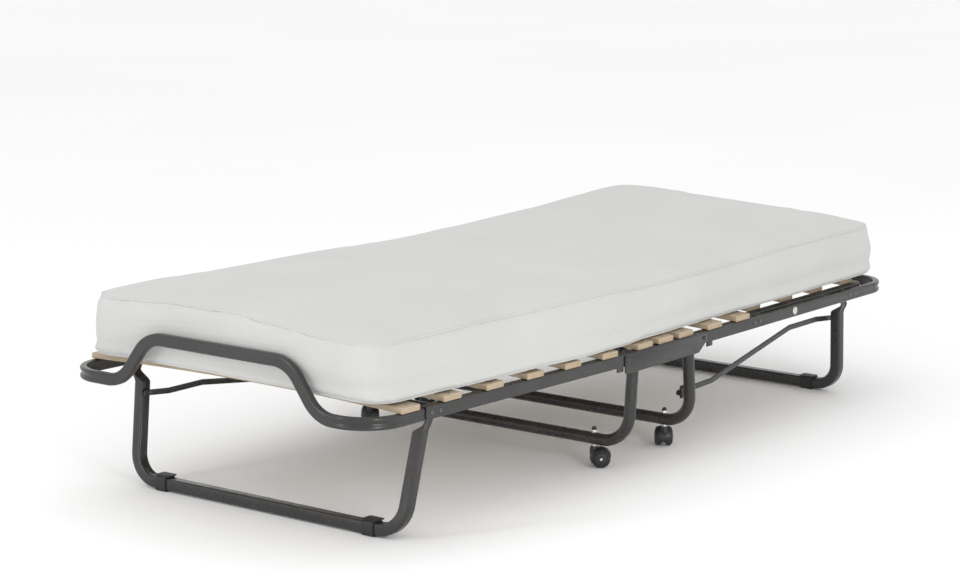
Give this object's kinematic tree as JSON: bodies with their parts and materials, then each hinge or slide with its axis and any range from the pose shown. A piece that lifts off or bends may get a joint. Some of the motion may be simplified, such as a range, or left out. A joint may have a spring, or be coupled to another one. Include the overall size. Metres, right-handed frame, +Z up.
{
  "type": "folding guest bed",
  "caption": "Folding guest bed on castors: steel tube frame, sprung wooden slats, two fold-up halves with folding legs, adjustable headrest and foam mattress.",
  "frame": {"origin": "on the floor under the middle of the bed, half way between the two fold hinges", "axes": "+X towards the head end, -X towards the foot end, +Z up, -Y to the side on the right of someone at the foot end who looks towards the head"},
  "size_m": [1.9101, 0.8108, 0.4109],
  "materials": {
    "frame_paint": "semi-gloss anthracite powder coat",
    "dark_paint": "satin black powder coat",
    "beech": "satin lacquered beech",
    "zinc": "bright zinc plate",
    "black_plastic": "moulded black plastic",
    "ticking": "off-white knitted mattress cover"
  },
  "bodies": {
    "centre": {"castor_foot_left_stem": "zinc", "castor_foot_right_stem": "zinc", "castor_frame_foot": "frame_paint", "castor_frame_head": "frame_paint", "castor_head_left_stem": "zinc", "castor_head_right_stem": "zinc", "centre_slat_1": "beech", "centre_slat_2": "beech", "centre_slat_3": "beech", "foot_hinge_pin_left": "dark_paint", "foot_hinge_pin_right": "dark_paint", "head_hinge_pin_left": "dark_paint", "head_hinge_pin_right": "dark_paint", "mattress_centre": "ticking", "side_plate_left": "frame_paint", "side_plate_right": "frame_paint"},
    "castor_foot_left_swivel": {"castor_foot_left_hood": "black_plastic"},
    "castor_foot_left_wheels_spin": {"castor_foot_left_wheels": "black_plastic"},
    "castor_foot_right_swivel": {"castor_foot_right_hood": "black_plastic"},
    "castor_foot_right_wheels_spin": {"castor_foot_right_wheels": "black_plastic"},
    "castor_head_left_swivel": {"castor_head_left_hood": "black_plastic"},
    "castor_head_left_wheels_spin": {"castor_head_left_wheels": "black_plastic"},
    "castor_head_right_swivel": {"castor_head_right_hood": "black_plastic"},
    "castor_head_right_wheels_spin": {"castor_head_right_wheels": "black_plastic"},
    "foot_brace": {"foot_brace": "frame_paint"},
    "foot_section": {"foot_end_tube": "frame_paint", "foot_leg_pin_left": "dark_paint", "foot_leg_pin_right": "dark_paint", "foot_rail_left": "frame_paint", "foot_rail_right": "frame_paint", "foot_slat_1": "beech", "foot_slat_2": "beech", "foot_slat_3": "beech", "foot_slat_4": "beech", "foot_slat_5": "beech", "foot_slat_6": "beech", "mattress_foot": "ticking"},
    "foot_leg": {"foot_glide_left": "black_plastic", "foot_glide_right": "black_plastic", "foot_leg": "frame_paint"},
    "head_brace": {"head_brace": "frame_paint"},
    "head_section": {"head_end_tube": "frame_paint", "head_leg_pin_left": "dark_paint", "head_leg_pin_right": "dark_paint", "head_rail_left": "frame_paint", "head_rail_right": "frame_paint", "head_slat_1": "beech", "head_slat_2": "beech", "mattress_head": "ticking"},
    "head_leg": {"head_glide_left": "black_plastic", "head_glide_right": "black_plastic", "head_leg": "frame_paint"},
    "headrest": {"headrest_frame": "dark_paint", "headrest_slat_1": "beech", "headrest_slat_2": "beech", "headrest_slat_3": "beech", "headrest_slat_4": "beech", "mattress_headrest": "ticking"},
    "headrest_prop": {"prop_arm_left": "zinc", "prop_arm_right": "zinc"}
  },
  "joints": [
    {"name": "foot_fold", "type": "hinge", "parent": "centre", "child": "foot_section", "pos_m": [-0.143, 0, 0.244], "axis": [0, 1, 0], "range_deg": [0, 88], "deforming": ["mattress_foot", "mattress_centre"]},
    {"name": "foot_leg_fold", "type": "hinge", "parent": "foot_section", "child": "foot_leg", "pos_m": [-0.75543, 0, 0.253], "axis": [0, -1, 0], "range_deg": [0, 88]},
    {"name": "foot_brace_swing", "type": "hinge", "parent": "centre", "child": "foot_brace", "pos_m": [-0.116, 0, 0.127], "axis": [0, 1, 0], "range_deg": [0, 80]},
    {"name": "head_fold", "type": "hinge", "parent": "centre", "child": "head_section", "pos_m": [0.143, 0, 0.244], "axis": [0, -1, 0], "range_deg": [0, 88], "deforming": ["mattress_head"]},
    {"name": "head_leg_fold", "type": "hinge", "parent": "head_section", "child": "head_leg", "pos_m": [0.7555, 0, 0.244], "axis": [0, 1, 0], "range_deg": [0, 88]},
    {"name": "head_brace_swing", "type": "hinge", "parent": "centre", "child": "head_brace", "pos_m": [0.116, 0, 0.127], "axis": [0, -1, 0], "range_deg": [0, 80]},
    {"name": "headrest_raise", "type": "hinge", "parent": "head_section", "child": "headrest", "pos_m": [0.346, 0, 0.244], "axis": [0, -1, 0], "range_deg": [0, 30], "deforming": ["mattress_headrest"]},
    {"name": "prop_swing", "type": "hinge", "parent": "head_section", "child": "headrest_prop", "pos_m": [0.516, 0, 0.244], "axis": [0, -1, 0], "range_deg": [0, 60]},
    {"name": "castor_foot_right_swivel", "type": "hinge", "parent": "centre", "child": "castor_foot_right_swivel", "pos_m": [-0.117, -0.302, 0.04], "axis": [0, 0, 1], "continuous": true},
    {"name": "castor_foot_right_roll", "type": "hinge", "parent": "castor_foot_right_swivel", "child": "castor_foot_right_wheels_spin", "pos_m": [-0.10848, -0.31311, 0.02], "axis": [0.7934, 0.6088, 0], "continuous": true},
    {"name": "castor_foot_left_swivel", "type": "hinge", "parent": "centre", "child": "castor_foot_left_swivel", "pos_m": [-0.117, 0.302, 0.04], "axis": [0, 0, 1], "continuous": true},
    {"name": "castor_foot_left_roll", "type": "hinge", "parent": "castor_foot_left_swivel", "child": "castor_foot_left_wheels_spin", "pos_m": [-0.10627, 0.311, 0.02], "axis": [-0.6428, 0.766, 0], "continuous": true},
    {"name": "castor_head_right_swivel", "type": "hinge", "parent": "centre", "child": "castor_head_right_swivel", "pos_m": [0.117, -0.32, 0.04], "axis": [0, 0, 1], "continuous": true},
    {"name": "castor_head_right_roll", "type": "hinge", "parent": "castor_head_right_swivel", "child": "castor_head_right_wheels_spin", "pos_m": [0.12811, -0.31148, 0.02], "axis": [-0.6088, 0.7934, 0], "continuous": true},
    {"name": "castor_head_left_swivel", "type": "hinge", "parent": "centre", "child": "castor_head_left_swivel", "pos_m": [0.117, 0.32, 0.04], "axis": [0, 0, 1], "continuous": true},
    {"name": "castor_head_left_roll", "type": "hinge", "parent": "castor_head_left_swivel", "child": "castor_head_left_wheels_spin", "pos_m": [0.10384, 0.32479, 0.02], "axis": [-0.342, -0.9397, 0], "continuous": true}
  ],
  "couplings": [
    {"joint": "foot_leg_fold", "follows": "foot_fold", "ratio": 1},
    {"joint": "foot_brace_swing", "follows": "foot_fold", "ratio": 0.9},
    {"joint": "head_leg_fold", "follows": "head_fold", "ratio": 1},
    {"joint": "head_brace_swing", "follows": "head_fold", "ratio": 0.9},
    {"joint": "prop_swing", "follows": "headrest_raise", "ratio": 2}
  ]
}
